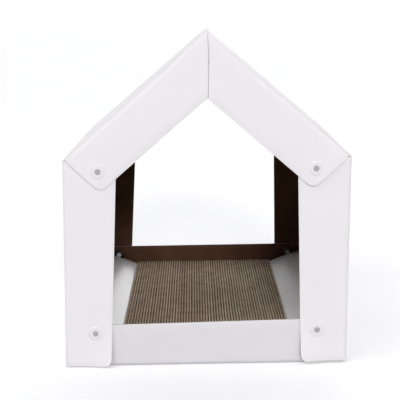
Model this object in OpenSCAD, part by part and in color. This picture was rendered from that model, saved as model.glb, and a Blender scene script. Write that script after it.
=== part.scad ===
// Flat-pack cat house: five bent sheet panels riveted at their corners, with a
// card tray inside that holds a pad of corrugated board strips set on edge.
// Millimetres, +Z up, front towards -Y, origin on the floor under the middle.

/* [House] */
// Width over the outer faces of the two walls
house_w = 300; // [240:1:420]
// Depth over the front and rear roof flaps
house_d = 375; // [260:1:520]
// Height of the roof surface where it reaches the wall's outer face
eave_h = 222; // [170:1:320]
// Height of the ridge
ridge_h = 352; // [310:1:480]

/* [Sheet] */
// Thickness of the panel sheet
sheet_t = 2; // [1.2:0.1:3]
// Outer radius of the folds
fold_r = 5; // [3.5:0.5:8]
// Gap between two lapped sheets
lap_gap = 0.2; // [0.1:0.05:0.4]
// Gap between sheet edges that meet
seam_gap = 0.4; // [0.2:0.1:0.8]

/* [Flaps] */
// Width of the wall flaps at eave height
wall_flap_top = 56; // [50:0.5:70]
// Width of the wall flaps at the floor
wall_flap_foot = 49; // [44:0.5:62]
// Width of the roof flaps, square to the slope
roof_flap = 50.5; // [44:0.5:62]
// Height of the front and rear sills
sill_h = 49.5; // [44:0.5:70]
// Radius of the roof flap's free corner
roof_corner_r = 10; // [4:0.5:14]
// Radius of the wall flap's free foot corner
foot_corner_r = 8; // [3:0.5:14]
// Angle of the roof flap's eave end below the level
eave_end_angle = 43; // [38:0.5:50]

/* [Ridge lock] */
// Share of the seam's length that lies above the crossing slot
lock_share = 0.41; // [0.38:0.01:0.6]
// How far a tongue reaches behind the other panel
tongue_reach = 14; // [8:0.5:16]
// Sideways lean of the seam's upper half
seam_lean = 2; // [0:0.1:4]
// Diameter of the relief hole at the crossing slot
slot_hole_d = 1.8; // [1:0.1:3]

/* [Rivets] */
// Eave rivets: distance in from the wall's outer face
eave_rivet_in = 37.2; // [34:0.1:44]
// Eave rivets: distance below the eave height
eave_rivet_drop = 11; // [8:0.1:14]
// Floor rivets: distance in from the wall's outer face
floor_rivet_in = 32.5; // [28:0.1:38]
// Floor rivets: height above the floor
floor_rivet_h = 37.5; // [20:0.5:41]
// Diameter of the rivet head
rivet_head_d = 15; // [12:0.5:18]
// Thickness of the rivet head
rivet_head_t = 1.5; // [1:0.1:2.5]
// Diameter of the round dimple in the head
rivet_dimple_d = 6; // [3:0.1:8]
// Diameter of the rivet shank
rivet_shank_d = 6; // [4:0.1:8]
// Radial clearance of the shank in its holes
rivet_fit = 0.08; // [0.04:0.02:0.1]
// Diameter of the inner socket
socket_d = 15; // [12:0.5:18]
// Height of the inner socket
socket_h = 3.6; // [2.5:0.1:6]
// Height of the socket's thin rim
socket_rim_t = 1.2; // [0.8:0.1:2]

/* [Scratch pad] */
// Thickness of one corrugated strip
strip_t = 3.2; // [2.5:0.1:5]
// Width left for the strips between the tray's risers
pad_w = 183; // [120:1:190]
// Gap between the strips' ends and the sills
pad_end_gap = 1.1; // [0.5:0.1:5]
// Height of the strips
pad_h = 24; // [15:0.5:30]
// Thickness of the liners and of the fluted paper
paper_t = 0.4; // [0.3:0.05:0.6]
// Length of one flute wave, drawn longer than on real board
flute_l = 20; // [14:1:30]

/* [Tray] */
// Thickness of the tray card
tray_t = 1.5; // [1:0.1:2]
// How far the tray's ends stop short of the sills, to clear the rivets
tray_set_back = 12.5; // [6:0.5:30]
// Rise of the tray's wings towards the walls
wing_angle = 17; // [8:0.5:22]
// Gap between the pad or the tray and what they rest on
seat_gap = 0.2; // [0.1:0.05:0.4]
// Side gap between the pad and the tray, and between the wings and the walls
side_gap = 0.5; // [0.3:0.1:1]

/* [Hidden] */

white = "#eceaee";
brown = "#33251c";
kraft = "#a58d6b";

// Extra length of a cut past the faces that it goes through
overrun = 1;
$fn = 64;
arc_steps = 10;

half_w = house_w / 2;
half_d = house_d / 2;
fold_inner_r = fold_r - sheet_t;
slope = atan2(ridge_h - eave_h, half_w);
layer = sheet_t + lap_gap;
wall_half_d = half_d - layer;
floor_half_d = half_d - 2 * layer;

// Height of a line that runs a given depth below the roof surface, on the left side
function roof_z(x, depth) = eave_h + (half_w + x) * tan(slope) - depth / cos(slope);

function unit(v) = v / norm(v);

// An outline's points with each corner rounded to its own radius
function rounded(points, radii) = [
    for (i = [0 : len(points) - 1])
        let (n = len(points), v = points[i])
        let (a = unit(points[(i + n - 1) % n] - v), b = unit(points[(i + 1) % n] - v))
        each radii[i] == 0 ? [v] : corner_arc(v, a, b, radii[i])
];

function corner_arc(v, a, b, r) =
    let (half = acos(a * b) / 2)
    let (centre = v + unit(a + b) * r / sin(half))
    let (from = v + a * r / tan(half) - centre, to = v + b * r / tan(half) - centre)
    let (start = atan2(from.y, from.x))
    let (turn = (atan2(to.y, to.x) - start + 540) % 360 - 180)
    [
        for (k = [0 : arc_steps])
            let (angle = start + turn * k / arc_steps)
            centre + r * [cos(angle), sin(angle)]
    ];

// A front-view outline drawn in X and Z, given a thickness from y0 towards the rear
module upright(points, y0, thickness) {
    translate([0, y0 + thickness, 0])
        rotate([90, 0, 0])
            linear_extrude(thickness)
                polygon(points);
}

module hole_y(x, z, d) {
    translate([x, -half_d - overrun, z])
        rotate([-90, 0, 0])
            cylinder(d = d, h = house_d + 2 * overrun);
}

// Eaves: the roof web ends inside the wall's web, and its folded end stops short of the wall's fold

roof_end_x = -half_w + fold_r + seam_gap;
web_end_x = -half_w + sheet_t + seam_gap;
wall_top = roof_z(-half_w + sheet_t, 0);
lap_depth = fold_r + seam_gap;

// Where the roof flap's eave end meets a line at a depth below the roof surface
function eave_end(depth) =
    let (level = tan(slope) + tan(eave_end_angle))
    let (x = web_end_x + depth / cos(slope) / level)
    [x, roof_z(x, depth)];

// Walls

lap_top_share = 0.55;
lap_corner_r = foot_corner_r;
rivet_hole_d = rivet_shank_d + 2 * rivet_fit;
eave_rivet_z = eave_h - eave_rivet_drop;
eave_rivet_x = -half_w + eave_rivet_in;
floor_rivet_x = -half_w + floor_rivet_in;

// Inner edge of the wall flap at a height
function flap_edge(z) = -half_w + wall_flap_foot + (wall_flap_top - wall_flap_foot) * z / eave_h;

// The flap's hidden upper end lies under the roof flap: along its end, then along the slope
module wall_flap(y0) {
    fold_x = -half_w + fold_r;
    turn_x = max(eave_end(lap_depth).x - seam_gap, fold_x + lap_gap);
    turn_z = roof_z(turn_x, lap_depth);
    peak_x = fold_x + (wall_flap_top - fold_r) * lap_top_share;
    shoulder_z = eave_rivet_z + rivet_head_d / 2;
    upright(rounded(
        [
            [fold_x, 0],
            [fold_x, turn_z + (turn_x - fold_x) * tan(eave_end_angle)],
            [turn_x, turn_z],
            [peak_x, roof_z(peak_x, lap_depth)],
            [flap_edge(shoulder_z), shoulder_z],
            [flap_edge(0), 0]
        ],
        [0, 0, 0, lap_corner_r, lap_corner_r, foot_corner_r]
    ), y0, sheet_t);
}

module wall_fold() {
    translate([-half_w + fold_r, -wall_half_d + fold_r, 0])
        rotate([0, 0, 180])
            rotate_extrude(angle = 90)
                translate([fold_inner_r, 0])
                    square([sheet_t, wall_top]);
}

module wall_panel() {
    color(white)
        difference() {
            union() {
                translate([-half_w, -wall_half_d + fold_r, 0])
                    cube([sheet_t, 2 * (wall_half_d - fold_r), wall_top]);
                wall_fold();
                mirror([0, 1, 0])
                    wall_fold();
                wall_flap(-wall_half_d);
                wall_flap(wall_half_d - sheet_t);
            }
            hole_y(eave_rivet_x, eave_rivet_z, rivet_hole_d);
            hole_y(floor_rivet_x, floor_rivet_h, rivet_hole_d);
        }
}

module left_wall_panel() {
    wall_panel();
}

module right_wall_panel() {
    rotate([0, 0, 180])
        wall_panel();
}

// Roof

seam_top_z = roof_z(0, fold_r);
seam_foot_z = roof_z(0, roof_flap);
lock_z = seam_top_z - (seam_top_z - seam_foot_z) * lock_share;
half_seam = seam_gap / 2;
slot_hole_share = 0.75;
ear_inset_share = 0.15;
tongue_root = tongue_reach / 2;
tongue_corner_r = tongue_reach / 4;

// The sheet edge on the left of the seam: the upper half leans, the lower half is upright
upper_edge = [[-half_seam, roof_z(-half_seam, fold_r)], [seam_lean - half_seam, lock_z]];
lower_x = seam_lean / 2 - half_seam;

// A stretch of the roof web between two distances from the middle, over a half depth
module roof_web(x0, x1, half_run) {
    upright([
        [x0, roof_z(x0, 0)],
        [x1, roof_z(x1, 0)],
        [x1, roof_z(x1, sheet_t)],
        [x0, roof_z(x0, sheet_t)]
    ], -half_run, 2 * half_run);
}

module roof_fold() {
    run = house_w;
    intersection() {
        upright([
            [roof_end_x, roof_z(roof_end_x, 0)],
            [-half_seam, roof_z(-half_seam, 0)],
            [-half_seam, roof_z(-half_seam, fold_r)],
            eave_end(fold_r)
        ], -half_d, fold_r);
        translate([-half_w, -half_d + fold_r, eave_h])
            rotate([0, -slope, 0])
                translate([-run / 2, 0, -fold_r])
                    rotate([0, 90, 0])
                        difference() {
                            cylinder(r = fold_r, h = 2 * run);
                            translate([0, 0, -overrun])
                                cylinder(r = fold_inner_r, h = 2 * (run + overrun));
                        }
    }
}

// A flat ear at the flap's upper corner, pressed thinner, that covers the end of the wall's fold
module roof_ear() {
    inset = sheet_t * ear_inset_share;
    foot = eave_end(fold_r + sheet_t);
    upright([
        eave_end(0),
        [roof_end_x, roof_z(roof_end_x, 0)],
        foot + sheet_t * [1, tan(slope)],
        foot
    ], -half_d + inset, sheet_t - 2 * inset);
}

// A flap whose seam edge is the left one, on the front
module roof_flap_left() {
    upright(rounded(
        [
            eave_end(fold_r),
            upper_edge[0],
            upper_edge[1],
            [lower_x, lock_z],
            [lower_x, roof_z(lower_x, roof_flap)],
            eave_end(roof_flap)
        ],
        [0, 0, 0, 0, 0, roof_corner_r]
    ), -half_d, sheet_t);
}

// The same flap cut for the other side of the seam, drawn on the left and mirrored
module roof_flap_right() {
    upright(rounded(
        [
            eave_end(fold_r),
            [-half_seam, roof_z(-half_seam, fold_r)],
            [-seam_lean - half_seam, lock_z],
            [-seam_lean / 2 - half_seam, lock_z],
            [-seam_lean / 2 - half_seam, roof_z(-seam_lean / 2 - half_seam, roof_flap)],
            eave_end(roof_flap)
        ],
        [0, 0, 0, 0, 0, roof_corner_r]
    ), -half_d, sheet_t);
}

// A tongue behind the other panel's flap, and a bridge that joins it to its own flap
module tongue(outline, radii, bridge) {
    upright(rounded(outline, radii), -half_d + layer, sheet_t);
    upright(bridge, -half_d + sheet_t, lap_gap);
}

// The lower tongue runs behind the lower part of the seam
module lower_tongue(edge_x) {
    root_x = edge_x - tongue_root;
    reach_x = edge_x + tongue_reach;
    low = seam_foot_z + sheet_t;
    high = lock_z - half_seam;
    tongue(
        [[root_x, low], [root_x, high], [reach_x, high], [reach_x, low]],
        [0, 0, tongue_corner_r, tongue_corner_r],
        [[root_x, low], [root_x, high], [edge_x - seam_gap, high], [edge_x - seam_gap, low]]
    );
}

// The upper tongue runs behind the upper part and keeps clear of both panels' folds
module upper_tongue(edge_x) {
    root_x = edge_x - tongue_root;
    reach_x = edge_x + tongue_reach;
    bridge_x = edge_x - seam_gap;
    low = lock_z + half_seam;
    tongue(
        [
            [root_x, low],
            [root_x, roof_z(root_x, lap_depth)],
            [0, roof_z(0, lap_depth)],
            [reach_x, roof_z(-reach_x, lap_depth)],
            [reach_x, low]
        ],
        [0, 0, 0, tongue_corner_r, tongue_corner_r],
        [
            [root_x, low],
            [root_x, roof_z(root_x, lap_depth)],
            [bridge_x, roof_z(bridge_x, lap_depth)],
            [bridge_x, low]
        ]
    );
}

// The small round end of the crossing slot, in the flap of one end only
module slot_hole(end) {
    hole_x = seam_lean * slot_hole_share;
    translate([-end * hole_x, end * (half_d - sheet_t / 2), lock_z])
        rotate([90, 0, 0])
            cylinder(d = slot_hole_d, h = sheet_t + lap_gap, center = true);
}

// Front: the upper half lies over and a tongue reaches behind below. Rear: the other way round.
module roof_panel() {
    color(white)
        difference() {
            union() {
                roof_web(roof_end_x, -half_seam, half_d - fold_r);
                roof_web(web_end_x, roof_end_x, wall_half_d - fold_r - seam_gap);
                roof_fold();
                mirror([0, 1, 0])
                    roof_fold();
                roof_ear();
                roof_flap_left();
                lower_tongue(lower_x);
                mirror([0, 1, 0]) {
                    roof_ear();
                    roof_flap_right();
                    upper_tongue(-seam_lean - half_seam);
                }
            }
            hole_y(eave_rivet_x, eave_rivet_z, rivet_hole_d);
            for (end = [-1, 1])
                slot_hole(end);
        }
}

module left_roof_panel() {
    roof_panel();
}

module right_roof_panel() {
    rotate([0, 0, 180])
        roof_panel();
}

// Floor

floor_half_w = half_w - fold_r - seam_gap;
sill_corner_r = foot_corner_r / 2;

module sill_fold() {
    translate([-floor_half_w, -floor_half_d + fold_r, fold_r])
        rotate([90, 0, 90])
            rotate([0, 0, 180])
                rotate_extrude(angle = 90)
                    translate([fold_inner_r, 0])
                        square([sheet_t, 2 * floor_half_w]);
}

module sill() {
    upright(rounded(
        [[-floor_half_w, fold_r], [-floor_half_w, sill_h], [floor_half_w, sill_h], [floor_half_w, fold_r]],
        [0, sill_corner_r, sill_corner_r, 0]
    ), -floor_half_d, sheet_t);
}

module floor_panel() {
    color(white)
        difference() {
            union() {
                translate([-floor_half_w, -floor_half_d + fold_r, 0])
                    cube([2 * floor_half_w, 2 * (floor_half_d - fold_r), sheet_t]);
                for (side = [0, 1])
                    mirror([0, side, 0]) {
                        sill_fold();
                        sill();
                    }
            }
            for (side = [-1, 1])
                hole_y(side * floor_rivet_x, floor_rivet_h, rivet_hole_d);
        }
}

// Tray

strip_count = floor(pad_w / strip_t);
pad_half_w = strip_count * strip_t / 2;
inner_half_d = floor_half_d - sheet_t;
tray_l = 2 * (inner_half_d - tray_set_back);
riser_x = pad_half_w + side_gap + tray_t / 2;
tray_z = sheet_t + seat_gap + tray_t / 2;
pad_z = sheet_t + seat_gap + tray_t + seat_gap;
rim_z = pad_z + pad_h;
wing_w = half_w - sheet_t - side_gap - riser_x - tray_t / 2;

// A card strip between two bend lines of the tray, with round bends at both ends
module card(from, to) {
    run = norm(to - from);
    translate([from.x, from.y])
        rotate(atan2(to.y - from.y, to.x - from.x)) {
            translate([0, -tray_t / 2])
                square([run, tray_t]);
            circle(d = tray_t);
            translate([run, 0])
                circle(d = tray_t);
        }
}

module scratcher_tray() {
    foot = [riser_x, tray_z];
    rim = [riser_x, rim_z - tray_t / 2];
    tip = rim + wing_w * [1, tan(wing_angle)];
    color(white)
        translate([0, tray_l / 2, 0])
            rotate([90, 0, 0])
                linear_extrude(tray_l) {
                    card([-foot.x, foot.y], foot);
                    for (side = [0, 1])
                        mirror([side, 0]) {
                            card(foot, rim);
                            card(rim, tip);
                        }
                }
}

// Scratch pad: strips of single-wall board on edge, liners and fluted papers in turn

pad_l = 2 * (inner_half_d - pad_end_gap);
glue_gap = paper_t / 10;
flute_h = strip_t - paper_t - 2 * glue_gap;
flute_count = floor(pad_l / flute_l);
flute_step = pad_l / flute_count / 2;

module liner(x) {
    translate([x - paper_t / 2, -pad_l / 2, pad_z])
        cube([paper_t, pad_l, pad_h]);
}

// One fluted paper, a zigzag between two liners, as thick as the paper across its run
module fluted_paper(x) {
    swing = (flute_h - paper_t) / 2;
    steps = 2 * flute_count;
    function crest(k) = k % 2 == 0 ? -swing : swing;
    near = [for (k = [0 : steps]) [x + crest(k) - paper_t / 2, -pad_l / 2 + k * flute_step]];
    far = [for (k = [steps : -1 : 0]) [x + crest(k) + paper_t / 2, -pad_l / 2 + k * flute_step]];
    translate([0, 0, pad_z])
        linear_extrude(pad_h)
            polygon(concat(near, far));
}

module scratch_pad_strips() {
    first = -pad_half_w + paper_t / 2;
    step = (2 * pad_half_w - paper_t) / strip_count;
    color(kraft) {
        for (k = [0 : strip_count])
            liner(first + k * step);
        for (k = [0 : strip_count - 1])
            fluted_paper(first + (k + 0.5) * step);
    }
}

// Rivets: a headed pin from outside and a socket on the inside, each on one pair of sheets

pin_grip = 2 * sheet_t + lap_gap;
pin_tip_t = rivet_shank_d / 8;
head_crown = rivet_head_t / 3;
dimple_share = 0.6;

// Pin with its head's seat at zero, pointing inwards
module rivet_pin() {
    shank_r = rivet_shank_d / 2;
    head_r = rivet_head_d / 2;
    dimple_r = rivet_dimple_d / 2;
    shank_l = pin_grip + socket_h + pin_tip_t;
    dimple_t = rivet_head_t * dimple_share;
    color(white)
        rotate_extrude()
            polygon([
                [0, -rivet_head_t + dimple_t],
                [dimple_r, -rivet_head_t + dimple_t],
                [dimple_r, -rivet_head_t],
                [head_r - head_crown * 2, -rivet_head_t],
                [head_r, -head_crown],
                [head_r, 0],
                [shank_r, 0],
                [shank_r, shank_l - pin_tip_t],
                [shank_r - pin_tip_t, shank_l],
                [0, shank_l]
            ]);
}

// Socket with its seat at zero, its rim on the sheet and its hub round the pin
module rivet_socket() {
    bore_r = rivet_shank_d / 2 + rivet_fit;
    rim_r = socket_d / 2;
    hub_r = (bore_r + rim_r) / 2;
    color(brown)
        rotate_extrude()
            polygon([
                [bore_r, 0],
                [rim_r, 0],
                [rim_r, socket_rim_t],
                [hub_r, socket_h],
                [bore_r, socket_h]
            ]);
}

// Places a rivet piece at a corner: across and along are -1 or 1, seat_y is its seat from the middle
module at_corner(across, along, x, z, seat_y) {
    translate([across * -x, along * seat_y, z])
        rotate([along * 90, 0, 0])
            children();
}

module eave_rivet(across, along) {
    at_corner(across, along, eave_rivet_x, eave_rivet_z, half_d)
        rivet_pin();
}

module floor_rivet(across, along) {
    at_corner(across, along, floor_rivet_x, floor_rivet_h, wall_half_d)
        rivet_pin();
}

module eave_socket(across, along) {
    at_corner(across, along, eave_rivet_x, eave_rivet_z, half_d - pin_grip)
        rivet_socket();
}

module floor_socket(across, along) {
    at_corner(across, along, floor_rivet_x, floor_rivet_h, wall_half_d - pin_grip)
        rivet_socket();
}

left_wall_panel();
right_wall_panel();
left_roof_panel();
right_roof_panel();
floor_panel();
scratcher_tray();
scratch_pad_strips();
eave_rivet(-1, -1);  // front_left_eave_rivet
eave_rivet(1, -1);  // front_right_eave_rivet
eave_rivet(-1, 1);  // rear_left_eave_rivet
eave_rivet(1, 1);  // rear_right_eave_rivet
floor_rivet(-1, -1);  // front_left_floor_rivet
floor_rivet(1, -1);  // front_right_floor_rivet
floor_rivet(-1, 1);  // rear_left_floor_rivet
floor_rivet(1, 1);  // rear_right_floor_rivet
eave_socket(-1, -1);  // front_left_eave_socket
eave_socket(1, -1);  // front_right_eave_socket
eave_socket(-1, 1);  // rear_left_eave_socket
eave_socket(1, 1);  // rear_right_eave_socket
floor_socket(-1, -1);  // front_left_floor_socket
floor_socket(1, -1);  // front_right_floor_socket
floor_socket(-1, 1);  // rear_left_floor_socket
floor_socket(1, 1);  // rear_right_floor_socket
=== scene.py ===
import math
import random

import bmesh
import bpy
from mathutils import Matrix, Vector, noise


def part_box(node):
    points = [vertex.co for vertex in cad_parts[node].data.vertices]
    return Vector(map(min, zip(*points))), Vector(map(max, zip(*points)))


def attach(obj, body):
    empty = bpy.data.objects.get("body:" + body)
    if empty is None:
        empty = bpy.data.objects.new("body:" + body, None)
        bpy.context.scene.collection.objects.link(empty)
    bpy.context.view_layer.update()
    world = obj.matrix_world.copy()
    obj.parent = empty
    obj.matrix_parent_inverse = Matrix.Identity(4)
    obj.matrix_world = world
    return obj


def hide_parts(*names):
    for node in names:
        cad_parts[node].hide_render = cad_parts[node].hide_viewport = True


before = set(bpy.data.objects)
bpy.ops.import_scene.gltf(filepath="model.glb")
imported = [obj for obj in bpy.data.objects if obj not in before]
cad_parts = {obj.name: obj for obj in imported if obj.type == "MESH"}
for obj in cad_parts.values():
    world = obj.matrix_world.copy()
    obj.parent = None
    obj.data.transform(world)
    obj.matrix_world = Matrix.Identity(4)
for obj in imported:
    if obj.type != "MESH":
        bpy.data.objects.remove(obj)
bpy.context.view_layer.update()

mm = 0.001
scene = bpy.context.scene
scene.view_settings.view_transform = "Standard"
print("frame loaded:", len(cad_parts), "nodes")


# Colour and shader helpers

mixSockets = {"factor": 0, "from": 6, "to": 7, "result": 2}     # the Mix node's places for colours


def linear(hexText):
    # sRGB hex to the linear colour that Blender wants
    channels = [int(hexText[i:i + 2], 16) / 255 for i in (1, 3, 5)]
    return tuple(c / 12.92 if c <= 0.04045 else ((c + 0.055) / 1.055) ** 2.4 for c in channels) + (1.0,)


def addNode(tree, kind, settings=None, links=None):
    # settings go to an input of that name, or else to the node's own property
    node = tree.nodes.new(kind)
    for key, value in (settings or {}).items():
        if isinstance(key, int) or key in node.inputs:
            node.inputs[key].default_value = value
        else:
            setattr(node, key, value)
    for key, (source, output) in (links or {}).items():
        tree.links.new(source.outputs[output], node.inputs[key])
    return node


def newMaterial(name, look):
    # a look's roughness, refraction and sheen go straight to the shader, where it has them
    material = bpy.data.materials.new(name)
    material.use_nodes = True
    tree = material.node_tree
    shader = tree.nodes["Principled BSDF"]
    for key, socket in (("roughness", "Roughness"), ("ior", "IOR"), ("sheen", "Specular IOR Level")):
        if key in look:
            shader.inputs[socket].default_value = look[key]
    return material, tree, shader


def addGrain(tree, place, grain):
    # noise with blotches of about this size, which stay on the piece
    settings = {"Scale": 1 / (grain["mm"] * mm), "Detail": grain["detail"]}
    if "roughness" in grain:
        settings["Roughness"] = grain["roughness"]
    return addNode(tree, "ShaderNodeTexNoise", settings, {"Vector": (place, "Object")})


def addTone(tree, shader, factor, dark, pale):
    # base colour between two tones
    tone = addNode(tree, "ShaderNodeMix", {"data_type": "RGBA"})
    tone.inputs[mixSockets["from"]].default_value = linear(dark)
    tone.inputs[mixSockets["to"]].default_value = linear(pale)
    tree.links.new(factor, tone.inputs[mixSockets["factor"]])
    tree.links.new(tone.outputs[mixSockets["result"]], shader.inputs["Base Color"])


def addBump(tree, shader, height, relief, under=None):
    # relief on the shader's normal, over another bump where there is one
    links = {"Height": (height, "Fac")}
    if under:
        links["Normal"] = (under, "Normal")
    settings = {"Strength": relief["strength"], "Distance": relief["mm"] * mm}
    bump = addNode(tree, "ShaderNodeBump", settings, links)
    tree.links.new(bump.outputs[0], shader.inputs["Normal"])
    return bump


# Materials

coatedBoard = {
    "pale": "#efecef",
    "shade": "#eae7ea",
    "cloud": {"mm": 70, "detail": 3.0},     # faint tone clouds of the coating
    "tooth": {"mm": 0.9, "detail": 2.0},    # paper tooth, about three times too coarse so that it shows
    "swell": {"mm": 45, "detail": 1.0},     # slow swell of pressed board
    "toothRelief": {"strength": 0.12, "mm": 0.2},
    "swellRelief": {"strength": 0.25, "mm": 1.5},
    "smoothest": 0.41,
    "roughest": 0.53,
    "ior": 1.5,
    "sheen": 0.3,
}
# the floor panel's board is drawn a shade greyer than the walls and roof: painted shade, so that the sill's
# face lies darker than the wall flaps
sillBoardPaintedShade = dict(coatedBoard, pale="#e2dee3", shade="#dddade")


def makeCoatedBoard(name, look):
    # Clay-coated solid board, calendered: a clean cool white with a broad satin sheen and a faint tooth
    material, tree, shader = newMaterial(name, look)
    place = addNode(tree, "ShaderNodeTexCoord")
    cloud = addGrain(tree, place, look["cloud"])
    addTone(tree, shader, cloud.outputs["Fac"], look["shade"], look["pale"])
    gloss = addNode(tree, "ShaderNodeMapRange",
                    {"To Min": look["smoothest"], "To Max": look["roughest"]},
                    {"Value": (cloud, "Fac")})
    tree.links.new(gloss.outputs[0], shader.inputs["Roughness"])
    swell = addBump(tree, shader, addGrain(tree, place, look["swell"]), look["swellRelief"])
    addBump(tree, shader, addGrain(tree, place, look["tooth"]), look["toothRelief"], swell)
    return material


brownLiner = {
    "dark": "#4e311f",
    "warm": "#62432f",
    "fibre": {"mm": 1.6, "detail": 4.0, "roughness": 0.65},
    "fibreShare": 0.55,
    "cloud": {"mm": 30, "detail": 2.0},
    "mottle": (0.45, 1.1),      # noise levels of the dark and the warm tone
    "relief": {"strength": 0.2, "mm": 0.2},
    "roughness": 0.6,
    "ior": 1.5,
    "sheen": 0.2,
}


def makeBrownLiner(name, look):
    # Dyed kraft liner glued to the inside: dark brown, nearly matte, with a fine fibre mottle
    material, tree, shader = newMaterial(name, look)
    place = addNode(tree, "ShaderNodeTexCoord")
    fibre = addGrain(tree, place, look["fibre"])
    cloud = addGrain(tree, place, look["cloud"])
    both = addNode(tree, "ShaderNodeMath", {"operation": "MULTIPLY_ADD", 1: look["fibreShare"]},
                   {0: (fibre, "Fac"), 2: (cloud, "Fac")})
    low, high = look["mottle"]
    spread = addNode(tree, "ShaderNodeMapRange", {"From Min": low, "From Max": high}, {"Value": (both, 0)})
    addTone(tree, shader, spread.outputs[0], look["dark"], look["warm"])
    addBump(tree, shader, fibre, look["relief"])
    return material


boardCore = {
    "pale": "#f4f1ee",
    "shade": "#dcd8d6",
    "cloud": {"mm": 0.5, "detail": 3.0},    # faint plies
    "roughness": 0.85,
}
trayCard = {
    "pale": "#f8f7f8",
    "shade": "#f0eff1",
    "cloud": {"mm": 45, "detail": 4.0},
    "tooth": {"mm": 1.1, "detail": 3.0},
    "relief": {"strength": 0.2, "mm": 0.2},
    "roughness": 0.36,
    "ior": 1.5,
}


def makePlainCard(name, look):
    # Bleached card without a coating: a chalky white with soft clouds, and a tooth where the face shows
    material, tree, shader = newMaterial(name, look)
    place = addNode(tree, "ShaderNodeTexCoord")
    cloud = addGrain(tree, place, look["cloud"])
    addTone(tree, shader, cloud.outputs["Fac"], look["shade"], look["pale"])
    if "tooth" in look:
        addBump(tree, shader, addGrain(tree, place, look["tooth"]), look["relief"])
    return material


kraftLiner = {
    "pale": "#ecdcc6",
    "mid": "#dcc8b0",
    "dark": "#bca68c",
    "fibre": {"mm": 1.2, "detail": 4.0, "roughness": 0.7},
    "fibreShare": 0.5,
    "blotch": {"mm": 14, "detail": 2.0},
    "plyShare": 0.35,
    "mottle": (0.55, 1.2),      # noise levels of the dark and the pale tone
    "midStop": 0.5,
    "relief": {"strength": 0.35, "mm": 0.2},
    "roughness": 0.88,
}
flutingPaper = dict(kraftLiner, pale="#b39a82", mid="#957d68", dark="#74604e", roughness=0.92)


def makeSawnPaper(name, look):
    # Unbleached paper of corrugated board, sawn: dry and matte, each ply a little different
    material, tree, shader = newMaterial(name, look)
    place = addNode(tree, "ShaderNodeTexCoord")
    island = addNode(tree, "ShaderNodeNewGeometry")
    fibre = addGrain(tree, place, look["fibre"])
    blotch = addGrain(tree, place, look["blotch"])
    speck = addNode(tree, "ShaderNodeMath", {"operation": "MULTIPLY_ADD", 1: look["fibreShare"]},
                    {0: (fibre, "Fac"), 2: (blotch, "Fac")})
    ply = addNode(tree, "ShaderNodeMath", {"operation": "MULTIPLY_ADD", 1: look["plyShare"]},
                  {0: (island, "Random Per Island"), 2: (speck, 0)})
    low, high = look["mottle"]
    spread = addNode(tree, "ShaderNodeMapRange", {"From Min": low, "From Max": high}, {"Value": (ply, 0)})
    ramp = addNode(tree, "ShaderNodeValToRGB", None, {"Fac": (spread, 0)})
    ramp.color_ramp.elements[0].color = linear(look["dark"])
    ramp.color_ramp.elements[1].color = linear(look["pale"])
    ramp.color_ramp.elements.new(look["midStop"]).color = linear(look["mid"])
    tree.links.new(ramp.outputs["Color"], shader.inputs["Base Color"])
    addBump(tree, shader, fibre, look["relief"])
    return material


rivetNylon = {
    "pale": "#ebe9ec",
    "shade": "#e2e0e3",
    "grain": {"mm": 0.5, "detail": 2.0},
    "relief": {"strength": 0.1, "mm": 0.1},
    "roughness": 0.38,
    "ior": 1.53,
}
# the head's dimple is painted grey: painted shade that stands for a deeper recess in the rivet
dimplePaintedShade = dict(rivetNylon, pale="#b6b4b7", shade="#a8a6aa", roughness=0.6)
socketPlastic = dict(rivetNylon, pale="#3a2a20", shade="#2a1d15", roughness=0.42,
                     grain={"mm": 0.6, "detail": 2.0})


def makeMouldedPlastic(name, look):
    # Injection-moulded nylon, spark-eroded mould: even colour, soft highlights, very fine grain
    material, tree, shader = newMaterial(name, look)
    place = addNode(tree, "ShaderNodeTexCoord")
    grain = addGrain(tree, place, look["grain"])
    addTone(tree, shader, grain.outputs["Fac"], look["shade"], look["pale"])
    addBump(tree, shader, grain, look["relief"])
    return material


boardWhite = makeCoatedBoard("coatedWhiteBoard", coatedBoard)
# the floor panel's board: the same coated board, darkened by painted shade
boardPaintedShade = makeCoatedBoard("coatedBoardPaintedShade", sillBoardPaintedShade)
linerBrown = makeBrownLiner("brownKraftLiner", brownLiner)
edgeWhite = makePlainCard("bleachedBoardEdge", boardCore)
cardWhite = makePlainCard("uncoatedWhiteCard", trayCard)
linerKraft = makeSawnPaper("kraftLinerPaper", kraftLiner)
fluteKraft = makeSawnPaper("flutingPaper", flutingPaper)
nylonWhite = makeMouldedPlastic("whiteNylon", rivetNylon)
# the dimple's grey nylon is painted shade
nylonDimpleShade = makeMouldedPlastic("nylonDimplePaintedShade", dimplePaintedShade)
nylonBrown = makeMouldedPlastic("brownNylon", socketPlastic)
print("materials made")


# Mesh helpers

meshing = {
    "arcSteps": 8,
    "sheetSmooth": 35,          # degrees; a sheet's sharper edges stay sharp
    "bevelFrom": 60,            # degrees; sharper edges are rounded
    "edgeRoundSteps": 2,
    "cutGap": 1e-7,
    "mergeGap": 1e-6,
}


def unit(vector):
    return vector / vector.length


def rounded(corners, steps=meshing["arcSteps"]):
    # corners are (point, radius); a radius above zero becomes an arc
    points = []
    count = len(corners)
    for i, (corner, radius) in enumerate(corners):
        vertex = Vector(corner)
        if radius == 0:
            points.append(vertex)
            continue
        back = unit(Vector(corners[i - 1][0]) - vertex)
        ahead = unit(Vector(corners[(i + 1) % count][0]) - vertex)
        half = back.angle(ahead) / 2
        centre = vertex + unit(back + ahead) * radius / math.sin(half)
        first = vertex + back * radius / math.tan(half) - centre
        last = vertex + ahead * radius / math.tan(half) - centre
        start = math.atan2(first.y, first.x)
        turn = (math.atan2(last.y, last.x) - start + 3 * math.pi) % (2 * math.pi) - math.pi
        for k in range(steps + 1):
            angle = start + turn * k / steps
            points.append(centre + radius * Vector((math.cos(angle), math.sin(angle))))
    return points


def smoothStep(low, high, value):
    t = min(max((value - low) / (high - low), 0), 1)
    return t * t * (3 - 2 * t)


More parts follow.
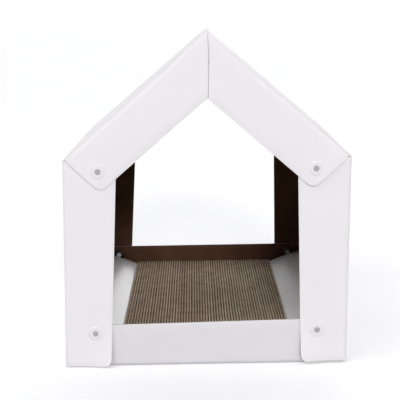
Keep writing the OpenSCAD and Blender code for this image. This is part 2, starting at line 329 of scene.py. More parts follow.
def applyModifiers(piece):
    # the finished mesh replaces the modifiers, with sharp edges kept sharp
    depsgraph = bpy.context.evaluated_depsgraph_get()
    mesh = bpy.data.meshes.new_from_object(piece.evaluated_get(depsgraph), depsgraph=depsgraph)
    piece.modifiers.clear()
    piece.data = mesh
    shadeByAngle(piece, meshing["sheetSmooth"])


def thickenSheet(piece, sheet, offset, edgeRound, innerSlot, rimSlot):
    # a surface becomes a sheet with softened edges; the slots are those of its inner face and its cut edge
    thicken = piece.modifiers.new("thickness", "SOLIDIFY")
    thicken.thickness = sheet
    thicken.offset = offset
    thicken.use_even_offset = True
    thicken.material_offset = innerSlot
    thicken.material_offset_rim = rimSlot
    soften = piece.modifiers.new("edge", "BEVEL")
    soften.width = edgeRound
    soften.segments = meshing["edgeRoundSteps"]
    soften.limit_method = "ANGLE"
    soften.angle_limit = math.radians(meshing["bevelFrom"])
    applyModifiers(piece)


def shadeByAngle(piece, degrees):
    bm = bmesh.new()
    bm.from_mesh(piece.data)
    for face in bm.faces:
        face.smooth = True
    for edge in bm.edges:
        edge.smooth = len(edge.link_faces) == 2 and edge.calc_face_angle(0) < math.radians(degrees)
    bm.to_mesh(piece.data)
    bm.free()


def newPiece(name, mesh, materials, body, slot, *nodes):
    piece = bpy.data.objects.new(name, mesh)
    scene.collection.objects.link(piece)
    for material in materials:
        mesh.materials.append(material)
    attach(piece, body)
    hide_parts(*nodes)
    return piece


# House frame, the same sizes as the solids

wallLow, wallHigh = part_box("left_wall_panel")
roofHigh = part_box("left_roof_panel")[1]
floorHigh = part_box("floor_panel")[1]

house = {
    "halfWidth": -wallLow.x,
    "halfDepth": roofHigh.y,
    "wallHalfDepth": wallHigh.y,
    "floorHalfDepth": floorHigh.y,
    "floorHalfWidth": floorHigh.x,
    "eaveHeight": 222 * mm,
    "ridgeHeight": 352 * mm,
    "sheet": 2 * mm,
    "foldRadius": 5 * mm,
    "seamGap": 0.4 * mm,
    "lapLayer": 2.2 * mm,
}
slope = math.atan2(house["ridgeHeight"] - house["eaveHeight"], house["halfWidth"])
halfSeam = house["seamGap"] / 2


def roofZ(x, depth):
    # height of a line that lies a depth below the left roof's surface
    rise = (house["halfWidth"] + x) * math.tan(slope)
    return house["eaveHeight"] + rise - depth / math.cos(slope)


def alongRoof(x, z):
    # (depth below the roof's surface, way up the slope) of a point seen from the front
    dx = x + house["halfWidth"]
    dz = z - house["eaveHeight"]
    return dx * math.sin(slope) - dz * math.cos(slope), dx * math.cos(slope) + dz * math.sin(slope)


rack = {
    "frontLean": math.radians(1.11),      # the light house stands a little askew and leans to the right
    "rearLean": math.radians(1.70),
    "stillHeight": 40 * mm,
    "rearDrop": 3 * mm,                   # and its roof is a little lower at the rear
}


def racked(point):
    alongDepth = (point.y + house["halfDepth"]) / (2 * house["halfDepth"])
    lean = rack["frontLean"] + (rack["rearLean"] - rack["frontLean"]) * alongDepth
    drop = rack["rearDrop"] * alongDepth * point.z / house["ridgeHeight"]
    return point + Vector((math.tan(lean) * (point.z - rack["stillHeight"]), 0, -drop))


# Folded sheets: a flat blank is drawn, cut into a grid and bent round its two folds

sheetLook = {
    "webGridMm": 22,
    "flapGridMm": 9,
    "foldSteps": 8,
    "edgeRoundMm": 0.35,
    "webShare": 0.5,      # the web ends at this share of the fold's depth
    "waveMm": 0.7,        # how far the board swells out of flat
    "waveLengthMm": 110,
    # the swell starts at nothing on these edges and is whole this far in
    "waveStart": {"fold": 30 * mm, "foot": 20 * mm, "eave": 25 * mm, "ridge": 25 * mm},
}


def flapU(halfDepth, depth):
    # a flap point's place on the flat blank, from the middle of the web
    straight = halfDepth - house["foldRadius"]
    return straight + house["foldRadius"] * math.pi / 2 + depth - house["foldRadius"]


def bend(u, halfDepth):
    # (y, depth) of a blank's point after folding
    radius = house["foldRadius"]
    straight = halfDepth - radius
    over = abs(u) - straight
    side = -1 if u < 0 else 1
    if over <= 0:
        return u, 0.0
    angle = over / radius
    if angle < math.pi / 2:
        return side * (straight + radius * math.sin(angle)), radius * (1 - math.cos(angle))
    return side * halfDepth, radius + over - radius * math.pi / 2


def gridSteps(low, high, step):
    count = max(int(round((high - low) / step)), 1)
    return [low + (high - low) * k / count for k in range(1, count)]


def blankMesh(name, outline, halfDepth, place):
    radius = house["foldRadius"]
    straight = halfDepth - radius
    arc = radius * math.pi / 2
    bm = bmesh.new()
    bm.faces.new([bm.verts.new((p.x, p.y, 0)) for p in outline])
    us = [p.x for p in outline]
    vs = [p.y for p in outline]
    uCuts = gridSteps(-straight, straight, sheetLook["webGridMm"] * mm)
    for side in (-1, 1):
        steps = sheetLook["foldSteps"]
        uCuts += [side * (straight + arc * k / steps) for k in range(steps + 1)]
        free = max(side * u for u in us)
        uCuts += [side * w for w in gridSteps(straight + arc, free, sheetLook["flapGridMm"] * mm)]
    vCuts = gridSteps(min(vs), max(vs), sheetLook["flapGridMm"] * mm)
    for axis, cuts in ((0, uCuts), (1, vCuts)):
        for cut in cuts:
            point = [0.0, 0.0, 0.0]
            normal = [0.0, 0.0, 0.0]
            point[axis] = cut
            normal[axis] = 1.0
            everything = bm.verts[:] + bm.edges[:] + bm.faces[:]
            bmesh.ops.bisect_plane(bm, geom=everything, dist=meshing["cutGap"],
                                   plane_co=point, plane_no=normal)
    for vert in bm.verts:
        vert.co = place(vert.co.x, vert.co.y)
    bmesh.ops.remove_doubles(bm, verts=bm.verts, dist=meshing["mergeGap"])
    bm.normal_update()
    mesh = bpy.data.meshes.new(name)
    bm.to_mesh(mesh)
    bm.free()
    return mesh


def sheetWave(point, seed):
    # slow swell of the sheet, the same on each run
    spot = Vector(point) / (sheetLook["waveLengthMm"] * mm) + Vector((seed, 0, 0))
    return noise.noise(spot) * sheetLook["waveMm"] * mm


def foldedPiece(name, outline, halfDepth, place, outward, node, face, addTo=None):
    mesh = blankMesh(name, outline, halfDepth, place)
    middle = min(mesh.polygons, key=lambda p: (p.center - outward["at"]).length)
    if middle.normal.dot(outward["way"]) < 0:
        mesh.flip_normals()
    if addTo:
        addTo(mesh)
    piece = newPiece(name, mesh, [face, linerBrown, edgeWhite], "house", "panel_white", node)
    thickenSheet(piece, house["sheet"], offset=-1, edgeRound=sheetLook["edgeRoundMm"] * mm,
                 innerSlot=1, rimSlot=2)


# Roof ends, which the walls are cut to fit

roof = {
    "flap": 50.5 * mm,
    "flapCorner": 10 * mm,
    "eaveEndAngle": math.radians(43),
    "lockShare": 0.41,
    "seamLean": 2 * mm,
    "tongueReach": 14 * mm,
    "tongueCornerShare": 0.25,
    "tongueTopShare": 0.125,    # a tighter corner where the tongue lies under the fold
    "tongueRootShare": 0.5,     # the tongue starts this share of its reach inside the seam
    "slotHole": 1.8 * mm,
    "slotShare": 0.75,          # the slot's round end on the lean of the seam
    "slotArc": {"from": 220, "step": 19, "points": 7},      # degrees
    "waveSeed": {"left": 11, "right": 17},
    "endLift": {"left": 0.7 * mm, "right": 1.0 * mm},   # the flaps' free ends stand off the wall flaps
    "endReach": 14 * mm,
    "endDepth": 18 * mm,        # the lift is whole from this far down the flap
    "cornerLift": 3.0 * mm,     # the left panel's front corner springs up at the ridge
    "liftReach": 60 * mm,
}
seamTop = roofZ(0, house["foldRadius"])
seamFoot = roofZ(0, roof["flap"])
lockZ = seamTop - (seamTop - seamFoot) * roof["lockShare"]


def eaveEnd(depth):
    level = math.tan(slope) + math.tan(roof["eaveEndAngle"])
    x = -house["halfWidth"] + house["sheet"] + house["seamGap"] + depth / math.cos(slope) / level
    return x, roofZ(x, depth)


# Wall panels

wall = {
    "topDrop": 1.0 * mm,        # the wall's top edge lies just under the roof's surface
    "flapTop": 56 * mm,
    "flapFoot": 49 * mm,
    "footCorner": 8 * mm,
    "lapShare": 0.55,
    "waveSeed": {"left": 3, "right": 7},
    "shoulderDrop": 3.5 * mm,   # the flap's hidden shoulder below the eave height
    "footLift": {"left": 4.6 * mm, "right": 4.2 * mm},   # the free foot corner stands off the sill
    "liftStart": 20 * mm,
    "liftHeight": 42 * mm,
    "footRise": {"left": 1.4 * mm, "right": 2.8 * mm},   # the front of the foot stands off the ground
    "riseHeight": 50 * mm,
}


def wallOutline():
    halfDepth = house["wallHalfDepth"]
    radius = house["foldRadius"]
    lapDepth = radius + house["seamGap"]
    halfWidth = house["halfWidth"]
    top = roofZ(-halfWidth + house["sheet"], 0) - wall["topDrop"]
    notchU = halfDepth - radius + radius * math.acos(1 - house["sheet"] / radius)
    notchFoot = eaveEnd(lapDepth)[0] + halfWidth
    peak = radius + (wall["flapTop"] - radius) * wall["lapShare"]
    shoulder = house["eaveHeight"] - wall["shoulderDrop"]
    shoulderDepth = wall["flapFoot"] + (wall["flapTop"] - wall["flapFoot"]) * shoulder / house["eaveHeight"]
    half = [
        ((flapU(halfDepth, wall["flapFoot"]), 0), wall["footCorner"]),
        ((flapU(halfDepth, shoulderDepth), shoulder), wall["footCorner"]),
        ((flapU(halfDepth, peak), roofZ(-halfWidth + peak, lapDepth)), wall["footCorner"]),
        ((flapU(halfDepth, notchFoot), roofZ(-halfWidth + notchFoot, lapDepth)), 0),
        ((notchU, top), 0),
    ]
    mirrored = [((-u, v), r) for (u, v), r in reversed(half)]
    return rounded(half + mirrored)


def makeWall(side):
    sign = -1 if side == "left" else 1
    halfDepth = house["wallHalfDepth"]
    lift = wall["footLift"][side]

    def place(u, v):
        y, depth = bend(u, halfDepth)
        rise = wall["footRise"][side] * smoothStep(0, halfDepth, -y)
        rise *= 1 - smoothStep(0, wall["riseHeight"], v)
        point = Vector((sign * (house["halfWidth"] - depth), y, v + rise))
        if depth < house["foldRadius"] * sheetLook["webShare"]:
            still = sheetLook["waveStart"]
            fade = smoothStep(0, still["fold"], halfDepth - abs(y)) * smoothStep(0, still["foot"], v)
            point.x += sign * sheetWave(point, wall["waveSeed"][side]) * fade
        else:
            free = smoothStep(wall["liftStart"], wall["flapFoot"], depth)
            free *= 1 - smoothStep(0, wall["liftHeight"], v)
            way = -1 if y < 0 else 1
            point.y += way * lift * free
        return racked(point)

    middle = Vector((sign * house["halfWidth"], 0, house["eaveHeight"] / 2))
    outward = {"at": middle, "way": Vector((sign, 0, 0))}
    name = "wallPanel" + side.capitalize()
    foldedPiece(name, wallOutline(), halfDepth, place, outward, side + "_wall_panel", boardWhite)


for side in ("left", "right"):
    makeWall(side)
print("walls folded")


# Roof panels

def roofFlapOutline(kind):
    # from the eave's fold, round the free edge, up the seam to the ridge's fold, seen from the front
    lean = roof["seamLean"] if kind == "over" else -roof["seamLean"]
    lowerX = lean / 2 - halfSeam
    upperX = lean - halfSeam
    seam = [((lowerX, roofZ(lowerX, roof["flap"])), 0)]
    if kind == "over":
        # the small round end of the crossing slot
        arc = roof["slotArc"]
        for k in range(arc["points"]):
            angle = math.radians(arc["from"] - arc["step"] * k)
            x = roof["seamLean"] * roof["slotShare"] + roof["slotHole"] / 2 * math.cos(angle)
            seam.append(((x, lockZ + roof["slotHole"] / 2 * math.sin(angle)), 0))
    else:
        seam += [((lowerX, lockZ), 0), ((upperX, lockZ), 0)]
    seam.append(((-halfSeam, roofZ(-halfSeam, house["foldRadius"])), 0))
    return [(eaveEnd(house["foldRadius"]), 0), (eaveEnd(roof["flap"]), roof["flapCorner"])] + seam


def tongueOutline(kind):
    # the part of the sheet that reaches behind the other panel
    reach = roof["tongueReach"]
    corner = reach * roof["tongueCornerShare"]
    inside = reach * roof["tongueRootShare"]
    if kind == "over":
        edge = roof["seamLean"] / 2 - halfSeam
        root, tip = edge - inside, edge + reach
        low, high = seamFoot + halfSeam, lockZ - halfSeam
        foot = roofZ(-tip, roof["flap"]) + corner
        return rounded([
            ((root, roofZ(root, roof["flap"]) + halfSeam), 0),
            ((edge, low), 0),
            ((tip, foot), corner),
            ((tip, high), corner),
            ((root, high), 0),
        ])
    edge = -roof["seamLean"] - halfSeam
    root, tip = edge - inside, edge + reach
    low = lockZ + halfSeam
    return rounded([
        ((root, low), 0),
        ((tip, low), corner),
        ((tip, roofZ(-tip, house["foldRadius"])), reach * roof["tongueTopShare"]),
        ((0, seamTop), 0),
        ((root, roofZ(root, house["foldRadius"])), 0),
    ])


def addTongues(mesh, turn):
    depth = house["halfDepth"] - house["lapLayer"]
    bm = bmesh.new()
    bm.from_mesh(mesh)
    for kind, way in (("over", -1), ("under", 1)):
        points = [Vector((turn * p.x, turn * way * depth, p.y)) for p in tongueOutline(kind)]
        corners = [bm.verts.new(racked(point)) for point in points]
        face = bm.faces.new(corners)
        face.normal_update()
        if face.normal.y * turn * way < 0:
            face.normal_flip()
    bm.to_mesh(mesh)
    bm.free()


def roofOutline():
    # the front flap lies over at the top of the seam, the rear flap under
    halfDepth = house["halfDepth"]
    radius = house["foldRadius"]
    straight = halfDepth - radius
    halves = []
    for kind in ("over", "under"):
        half = []
        for (x, z), r in roofFlapOutline(kind):
            depth, up = alongRoof(x, z)
            half.append(((flapU(halfDepth, depth), up), r))
        for k in range(sheetLook["foldSteps"] - 1, -1, -1):
            angle = math.pi / 2 * k / sheetLook["foldSteps"]
            depth = radius * (1 - math.cos(angle))
            up = alongRoof(-halfSeam, roofZ(-halfSeam, depth))[1]
            half.append(((straight + radius * angle, up), 0))
        halves.append(half)
    front, rear = halves
    endUp = alongRoof(*eaveEnd(0))[1]
    eave = [((straight, endUp), 0), ((-straight, endUp), 0)]
    frontSide = [((-u, v), r) for (u, v), r in front]
    return rounded(frontSide + list(reversed(rear)) + eave)


def makeRoof(side):
    # one blank serves both sides: the right panel is the left one turned half round
    turn = 1 if side == "left" else -1
    halfDepth = house["halfDepth"]

    def place(u, v):
        y, depth = bend(u, halfDepth)
        x = -house["halfWidth"] + v * math.cos(slope) + depth * math.sin(slope)
        z = house["eaveHeight"] + v * math.sin(slope) - depth * math.cos(slope)
        point = Vector((x, y, z))
        if depth < house["foldRadius"] * sheetLook["webShare"]:
            still = sheetLook["waveStart"]
            wave = min(sheetWave(point, roof["waveSeed"][side]), 0)
            fade = smoothStep(0, still["fold"], halfDepth - abs(y)) * smoothStep(0, still["eave"], v)
            fade *= smoothStep(0, still["ridge"], -x)
            point += Vector((-math.sin(slope), 0, math.cos(slope))) * wave * fade
        else:
            way = -1 if y < 0 else 1
            fromEnd = v - alongRoof(*eaveEnd(depth))[1]
            free = 1 - smoothStep(0, roof["endReach"], fromEnd)
            free *= smoothStep(house["foldRadius"], roof["endDepth"], depth)
            point.y += way * roof["endLift"][side] * free
        if side == "left" and y < 0:
            near = (1 - smoothStep(0, roof["liftReach"], -x)) * smoothStep(0, halfDepth, -y)
            near *= 1 - smoothStep(house["foldRadius"], roof["flap"], depth)
            point.z += roof["cornerLift"] * near
        return racked(Vector((turn * point.x, turn * point.y, point.z)))

    middle = Vector((turn * -house["halfWidth"] / 2, 0, (house["eaveHeight"] + house["ridgeHeight"]) / 2))
    outward = {"at": middle, "way": Vector((turn * -math.sin(slope), 0, math.cos(slope)))}
    name = "roofPanel" + side.capitalize()
    node = side + "_roof_panel"
    foldedPiece(name, roofOutline(), halfDepth, place, outward, node, boardWhite,
                lambda mesh: addTongues(mesh, turn))


for side in ("left", "right"):
    makeRoof(side)
print("roof folded")


# Floor panel with its two sills

floorPanel = {
    "sillHeight": 49.5 * mm,
    "sillCorner": 4 * mm,
    "sillDip": {"left": 3.8 * mm, "right": 0.8 * mm},   # the front sill's edge sags, most on the left
}


def makeFloor():
    halfDepth = house["floorHalfDepth"]
    halfWidth = house["floorHalfWidth"]
    edge = flapU(halfDepth, floorPanel["sillHeight"])
    corner = floorPanel["sillCorner"]
    outline = rounded([
        ((-edge, -halfWidth), corner),
        ((edge, -halfWidth), corner),
        ((edge, halfWidth), corner),
        ((-edge, halfWidth), corner),
    ])

    def place(u, v):
        y, height = bend(u, halfDepth)
        if y < 0:
            dip = floorPanel["sillDip"]
            across = smoothStep(-halfWidth, halfWidth, v)
            sag = dip["left"] + (dip["right"] - dip["left"]) * across
            height -= sag * smoothStep(0, floorPanel["sillHeight"], height)
        return racked(Vector((v, y, height)))

    outward = {"at": Vector((0, 0, 0)), "way": Vector((0, 0, -1))}
    # the floor panel takes the board that is darkened by painted shade
    foldedPiece("floorPanel", outline, halfDepth, place, outward, "floor_panel", boardPaintedShade)


makeFloor()
print("floor folded")


# Card tray

trayLow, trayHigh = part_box("scratcher_tray")
padLow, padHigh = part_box("scratch_pad_strips")

tray = {
    "card": 1.5 * mm,
    "sideGap": 0.5 * mm,
    "bendRadius": 1.6 * mm,
    "bendSteps": 5,
    "floorSteps": 6,
    "edgeRound": 0.25 * mm,
    "rowMm": 12,
    "bowMm": 1.5,       # the wings' card bows up between its bend and the wall
    "wingSteps": 8,
    "leftShort": 2.6 * mm,      # the left wing passes the leaning wall when the tray is lifted
}


def makeTray():
    half = tray["card"] / 2
    riserX = padHigh.x + tray["sideGap"] + half
    footZ = trayLow.z + half
    rimZ = padHigh.z - half
    tipX = trayHigh.x - half
    tipZ = trayHigh.z - half
    arm = [
        ((riserX, footZ), tray["bendRadius"]),
        ((riserX, rimZ), tray["bendRadius"]),
    ]
    ends = [((0, footZ), 0), ((tipX, tipZ), 0)]
    path = rounded([ends[0]] + arm + [ends[1]], tray["bendSteps"])
    lead = [p for p in path if p.x <= riserX + tray["bendRadius"]]
    floorSteps = tray["floorSteps"]
    floorRun = [Vector((riserX * k / floorSteps, footZ)) for k in range(floorSteps)]

    def halfProfile(short):
        span = path[-1] - lead[-1]
        span *= 1 - short / span.x
        wing = []
        for k in range(1, tray["wingSteps"] + 1):
            share = k / tray["wingSteps"]
            bow = math.sin(math.pi * share) * tray["bowMm"] * mm
            wing.append(lead[-1] + span * share + Vector((0, bow)))
        return floorRun + lead[1:] + wing

    right = halfProfile(0)
    left = halfProfile(tray["leftShort"])
    profile = [Vector((-p.x, p.y)) for p in reversed(left)] + right[1:]
    rows = max(int((trayHigh.y - trayLow.y) / (tray["rowMm"] * mm)), 2)
    bm = bmesh.new()
    grid = []
    for k in range(rows + 1):
        y = trayLow.y + (trayHigh.y - trayLow.y) * k / rows
        grid.append([bm.verts.new((p.x, y, p.y)) for p in profile])
    for a, b in zip(grid, grid[1:]):
        for i in range(len(profile) - 1):
            bm.faces.new((a[i], a[i + 1], b[i + 1], b[i]))
    bm.normal_update()
    mesh = bpy.data.meshes.new("scratcherTray")
    bm.to_mesh(mesh)
    bm.free()
    piece = newPiece("scratcherTray", mesh, [cardWhite, edgeWhite], "tray", "tray_card", "scratcher_tray")
    thickenSheet(piece, tray["card"], offset=0, edgeRound=tray["edgeRound"], innerSlot=0, rimSlot=1)


makeTray()
print("tray folded")


# Scratch pad: liners and fluted papers in turn, cut on edge

pad = {
    "stripMm": 3.2,
    "linerMm": 1.25,     # two glued liners side by side, drawn a little thick so that they show
    "fluteMm": 6.5,      # real wave length of the board
    "flutePaperMm": 0.3,
    "fluteDropMm": 1.3,  # the soft fluted paper is worn below its liners
    "wavePoints": 8,
    "linerStepMm": 3.0,
    "heightSpreadMm": 0.5,
    "wearMm": 0.5,       # the top edge is scuffed up and down along a strip
    "scuffMm": 5,
    "scuffSpread": 40,   # how far apart two strips' scuffs are drawn from the noise
    "wanderMm": 0.4,     # strips bow sideways a little, but not the outer ones
    "wanderLengthMm": (60, 55),
    "wanderSlice": 4.0,
    "wanderEdgePower": 4,
    "smooth": 50,        # degrees
    "seed": 21,
}


def makePad():
    draw = random.Random(pad["seed"])
    low, high = padLow, padHigh
    count = round((high.x - low.x) / (pad["stripMm"] * mm))
    liner = pad["linerMm"] * mm
    fluted = pad["flutePaperMm"] * mm
    step = (high.x - low.x - liner) / count
    swing = (step - liner - fluted) / 2
    length = high.y - low.y
    waves = round(length / (pad["fluteMm"] * mm))
    bm = bmesh.new()

    def wander(x, y):
        acrossMm, alongMm = pad["wanderLengthMm"]
        spot = Vector((x / (acrossMm * mm), y / (alongMm * mm), pad["wanderSlice"]))
        return noise.noise(spot) * pad["wanderMm"] * mm * (1 - (x / high.x) ** pad["wanderEdgePower"])

    def band(centre, samples, wave, thick, worn, paper):
        drop = draw.random() * pad["heightSpreadMm"] * mm + worn
        shift = draw.random() * pad["scuffSpread"]
        rings = []
        for k in range(samples + 1):
            y = low.y + length * k / samples
            x = centre + wave(y) + wander(centre, y)
            spot = Vector((y / (pad["scuffMm"] * mm), shift, 0))
            scuff = (noise.noise(spot) - 1) / 2 * pad["wearMm"] * mm
            top = high.z - drop + scuff
            left, right = x - thick / 2, x + thick / 2
            corners = ((left, low.z), (right, low.z), (right, top), (left, top))
            rings.append([bm.verts.new((cx, y, cz)) for cx, cz in corners])
        faces = [bm.faces.new(rings[0]), bm.faces.new(reversed(rings[-1]))]
        for a, b in zip(rings, rings[1:]):
            for i in range(4):
                j = (i + 1) % 4
                faces.append(bm.faces.new((a[i], b[i], b[j], a[j])))
        for face in faces:
            face.material_index = paper

    linerSamples = round(length / (pad["linerStepMm"] * mm))
    for k in range(count + 1):
        band(low.x + liner / 2 + k * step, linerSamples, lambda y: 0.0, liner, 0.0, 0)
    for k in range(count):
        phase = draw.random() * 2 * math.pi
        rate = 2 * math.pi * waves / length
        band(low.x + liner / 2 + (k + 0.5) * step, waves * pad["wavePoints"],
             lambda y: swing * math.sin(rate * y + phase), fluted, pad["fluteDropMm"] * mm, 1)
    bm.normal_update()
    mesh = bpy.data.meshes.new("scratchPadStrips")
    bm.to_mesh(mesh)
    bm.free()
    papers = [linerKraft, fluteKraft]
    piece = newPiece("scratchPadStrips", mesh, papers, "pad", "corrugated_board", "scratch_pad_strips")
    shadeByAngle(piece, pad["smooth"])


makePad()
print("pad cut")


# Rivets and sockets, turned about their axis

rivet = {
    "headRadius": 7.5 * mm,
    "headHeight": 1.5 * mm,
    "headEdge": 0.7 * mm,
    "rimShare": 1 / 2,          # of the head's edge: how far the rim's second edge lies above its seat
    "rimEdgeShare": 1 / 3,      # and how round it is
    "dimpleRadius": 3.0 * mm,
    "dimpleDepth": 1.1 * mm,
    "dimpleEdge": 0.25 * mm,
    "shankRadius": 3.0 * mm,
    "turns": 56,
    "arcSteps": 5,
    "smooth": 40,       # degrees
}
socket = {
    "rimRadius": 7.5 * mm,
    "rimHeight": 1.2 * mm,
    "hubRadius": 5.3 * mm,
    "height": 3.6 * mm,
    "boreRadius": 3.08 * mm,
    "edge": 0.5 * mm,
    "boreEdge": 0.25 * mm,
}


def lathe(name, profile, origin, inward):
    # profile is (radius, way in) from one axis end to the other or a closed ring
    bm = bmesh.new()
    turns = rivet["turns"]
    rings = []
    for radius, way in profile:
        if radius < meshing["mergeGap"]:
            rings.append([bm.verts.new(origin + inward * way)])
            continue
        ring = []
        for k in range(turns):
            angle = 2 * math.pi * k / turns
            out = Vector((math.cos(angle), 0, math.sin(angle)))
            ring.append(bm.verts.new(origin + inward * way + out * radius))
        rings.append(ring)
    pairs = list(zip(rings, rings[1:]))
    if len(rings[0]) > 1:
        pairs.append((rings[-1], rings[0]))
    for a, b in pairs:
        for k in range(turns):
            j = (k + 1) % turns
            corners = [a[k % len(a)], a[j % len(a)], b[j % len(b)], b[k % len(b)]]
            unique = list(dict.fromkeys(corners))
            if len(unique) > 2:
                bm.faces.new(unique)
    bmesh.ops.recalc_face_normals(bm, faces=bm.faces)
    mesh = bpy.data.meshes.new(name)
    bm.to_mesh(mesh)
    bm.free()
    return mesh


def makeRivet(node):
    low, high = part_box(node)
    front = low.y < 0
    inward = Vector((0, 1 if front else -1, 0))
    head = low.y if front else high.y
    tip = high.y - low.y
    origin = racked(Vector(((low.x + high.x) / 2, head, (low.z + high.z) / 2)))
    face, edge = rivet["headHeight"], rivet["headEdge"]
    shank = rivet["shankRadius"]
    dimple, deep, soft = rivet["dimpleRadius"], rivet["dimpleDepth"], rivet["dimpleEdge"]
    outline = rounded([
        ((0, deep), 0),
        ((dimple, deep), soft),
        ((dimple, 0), soft),
        ((rivet["headRadius"] - edge, 0), edge),
        ((rivet["headRadius"], face - edge * rivet["rimShare"]), edge * rivet["rimEdgeShare"]),
        ((rivet["headRadius"], face), 0),
        ((shank, face), 0),
        ((shank, tip), edge),
        ((0, tip), 0),
    ], rivet["arcSteps"])
    mesh = lathe(node, [(p.x, p.y) for p in outline], origin, inward)
    piece = newPiece("pin." + node, mesh, [nylonWhite, nylonDimpleShade], "house", "rivet_white", node)
    # the shallow dimple's faces take the grey: painted shade of the recess
    for facet in mesh.polygons:
        away = facet.center - origin
        wayIn = away.dot(inward)
        if (away - inward * wayIn).length < dimple and soft < wayIn < deep + soft:
            facet.material_index = 1
    shadeByAngle(piece, rivet["smooth"])


def makeSocket(node):
    low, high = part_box(node)
    front = low.y < 0
    inward = Vector((0, 1 if front else -1, 0))
    seat = low.y if front else high.y
    origin = racked(Vector(((low.x + high.x) / 2, seat, (low.z + high.z) / 2)))
    outline = rounded([
        ((socket["boreRadius"], 0), 0),
        ((socket["rimRadius"], 0), 0),
        ((socket["rimRadius"], socket["rimHeight"]), socket["edge"]),
        ((socket["hubRadius"], socket["height"]), socket["edge"]),
        ((socket["boreRadius"], socket["height"]), socket["boreEdge"]),
    ], rivet["arcSteps"])
    mesh = lathe(node, [(p.x, p.y) for p in outline], origin, inward)
    piece = newPiece("cap." + node, mesh, [nylonBrown], "house", "socket_brown", node)
    shadeByAngle(piece, rivet["smooth"])


for end in ("front", "rear"):
    for side in ("left", "right"):
        for height in ("eave", "floor"):
            makeRivet("_".join((end, side, height, "rivet")))
            makeSocket("_".join((end, side, height, "socket")))
print("rivets turned")


# Stage: one pale floor that runs on past the view, under an even white surround

stage = {
    "floorColour": "#d9d9dc",
    "roughness": 0.9,
    "floorReach": 80.0,
    "lift": 0.35,               # share of plain white that the camera adds to the floor
    "frontLight": 0.16,         # the surround's light from the camera's side
    "backLight": 1.2,           # and from the bright backdrop behind
    "backSpan": (0.35, 0.95),   # where the one goes over into the other, as the way's share along +Y
}


def makeFloorStage():
    material, tree, shader = newMaterial("paperSweep", stage)
    shader.inputs["Base Color"].default_value = linear(stage["floorColour"])
    output = tree.nodes["Material Output"]
    path = addNode(tree, "ShaderNodeLightPath")
    seen = addNode(tree, "ShaderNodeMath", {"operation": "MAXIMUM"},
                   {0: (path, "Is Camera Ray"), 1: (path, "Is Glossy Ray")})
    strength = addNode(tree, "ShaderNodeMath", {"operation": "MULTIPLY", 1: stage["lift"]}, {0: (seen, 0)})
    glow = addNode(tree, "ShaderNodeEmission", {"Color": (1, 1, 1, 1)}, {"Strength": (strength, 0)})
    both = addNode(tree, "ShaderNodeAddShader", None, {0: (shader, 0), 1: (glow, 0)})
    tree.links.new(both.outputs[0], output.inputs["Surface"])
    mesh = bpy.data.meshes.new("sweep")
    r = stage["floorReach"]
    mesh.from_pydata([(-r, -r, 0), (r, -r, 0), (r, r, 0), (-r, r, 0)], [], [(0, 1, 2, 3)])
    mesh.materials.append(material)
    sweep = bpy.data.objects.new("sweep", mesh)
    scene.collection.objects.link(sweep)


def makeSurround():
    world = bpy.data.worlds.new("studioSurround")
    scene.world = world
    world.use_nodes = True
    tree = world.node_tree
    tree.nodes.clear()
    path = addNode(tree, "ShaderNodeLightPath")
    seen = addNode(tree, "ShaderNodeMath", {"operation": "MAXIMUM"},
                   {0: (path, "Is Camera Ray"), 1: (path, "Is Transmission Ray")})
    mirrored = addNode(tree, "ShaderNodeMath", {"operation": "MAXIMUM"},
                       {0: (seen, 0), 1: (path, "Is Glossy Ray")})
    way = addNode(tree, "ShaderNodeTexCoord")
    axes = addNode(tree, "ShaderNodeSeparateXYZ", None, {0: (way, "Generated")})
    low, high = stage["backSpan"]
    backwards = addNode(tree, "ShaderNodeMapRange",
                        {"From Min": low, "From Max": high, "To Min": stage["frontLight"],
                         "To Max": stage["backLight"], "interpolation_type": "SMOOTHSTEP"},
                        {"Value": (axes, "Y")})
    light = addNode(tree, "ShaderNodeBackground", {"Color": (1, 1, 1, 1)}, {"Strength": (backwards, 0)})
    white = addNode(tree, "ShaderNodeBackground", {"Color": (1, 1, 1, 1), "Strength": 1.0})
    mix = addNode(tree, "ShaderNodeMixShader", None, {0: (mirrored, 0), 1: (light, 0), 2: (white, 0)})
    addNode(tree, "ShaderNodeOutputWorld", None, {"Surface": (mix, 0)})


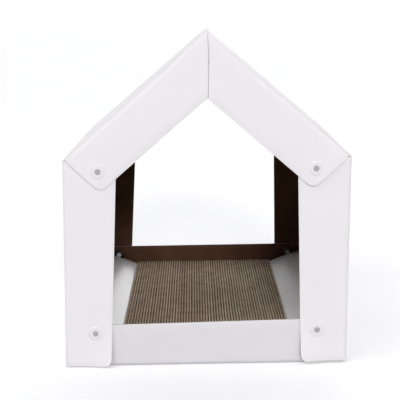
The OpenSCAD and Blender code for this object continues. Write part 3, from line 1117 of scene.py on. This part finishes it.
lamps = {
    # name: kind, place, target, size (metres, or degrees for a sun), strength
    "key": {"kind": "SUN", "at": (0.22, -2.56, 1.25), "to": (0, 0, 0.15), "size": 14, "power": 1.2},
    "rightKey": {"kind": "SUN", "at": (1.57, -2.02, 1.29), "to": (0, 0, 0.15), "size": 22, "power": 0.36},
    "leftKey": {"kind": "SUN", "at": (-1.57, -2.02, 1.29), "to": (0, 0, 0.15), "size": 22, "power": 0.26},
    "ceiling": {"kind": "SUN", "at": (-1.3, -0.8, 2.6), "to": (0, 0, 0), "size": 40, "power": 0.75},
    "backdrop": {"kind": "SUN", "at": (0.39, 2.79, 1.13), "to": (0, 0, 0.1), "size": 20, "power": 0.3},
    "rearTop": {"kind": "SUN", "at": (0.45, 1.79, 2.46), "to": (0, 0, 0.1), "size": 30, "power": 0.15},
    "leftFill": {"kind": "AREA", "at": (-2.0, -0.5, 1.9), "to": (0, 0, 0.2), "size": 1.4, "power": 8},
    "rightFill": {"kind": "AREA", "at": (2.1, -0.2, 1.6), "to": (0, 0, 0.2), "size": 1.2, "power": 8},
}


def makeLights():
    for name, lamp in lamps.items():
        data = bpy.data.lights.new(name, lamp["kind"])
        data.energy = lamp["power"]
        if lamp["kind"] == "SUN":
            data.angle = math.radians(lamp["size"])
        else:
            data.shape = "SQUARE"
            data.size = lamp["size"]
        holder = bpy.data.objects.new(name, data)
        holder.location = lamp["at"]
        aim = Vector(lamp["to"]) - Vector(lamp["at"])
        holder.rotation_euler = aim.to_track_quat("-Z", "Y").to_euler()
        scene.collection.objects.link(holder)


view = {
    "at": (-8.1 * mm, -1280.7 * mm, 379.5 * mm),
    "pitchDown": 10.34,
    "turnLeft": -0.19,
    "tilt": -0.95,
    "focalPixels": 1072.3,   # on a frame 400 pixels wide
    "framePixels": 400,
    "sensorMm": 36,
    "clipEnd": 200,          # metres
}


def makeCamera():
    data = bpy.data.cameras.new("photoView")
    data.sensor_width = view["sensorMm"]
    data.sensor_fit = "HORIZONTAL"
    data.lens = view["sensorMm"] * view["focalPixels"] / view["framePixels"]
    data.clip_end = view["clipEnd"]
    camera = bpy.data.objects.new("photoView", data)
    camera.location = view["at"]
    turned = Matrix.Rotation(math.radians(view["turnLeft"]), 3, "Z")
    lowered = Matrix.Rotation(math.radians(90 - view["pitchDown"]), 3, "X")
    tilted = Matrix.Rotation(math.radians(view["tilt"]), 3, "Z")
    camera.rotation_euler = (turned @ lowered @ tilted).to_euler()
    scene.collection.objects.link(camera)
    scene.camera = camera


makeFloorStage()
makeSurround()
makeLights()
makeCamera()
print("stage lit")
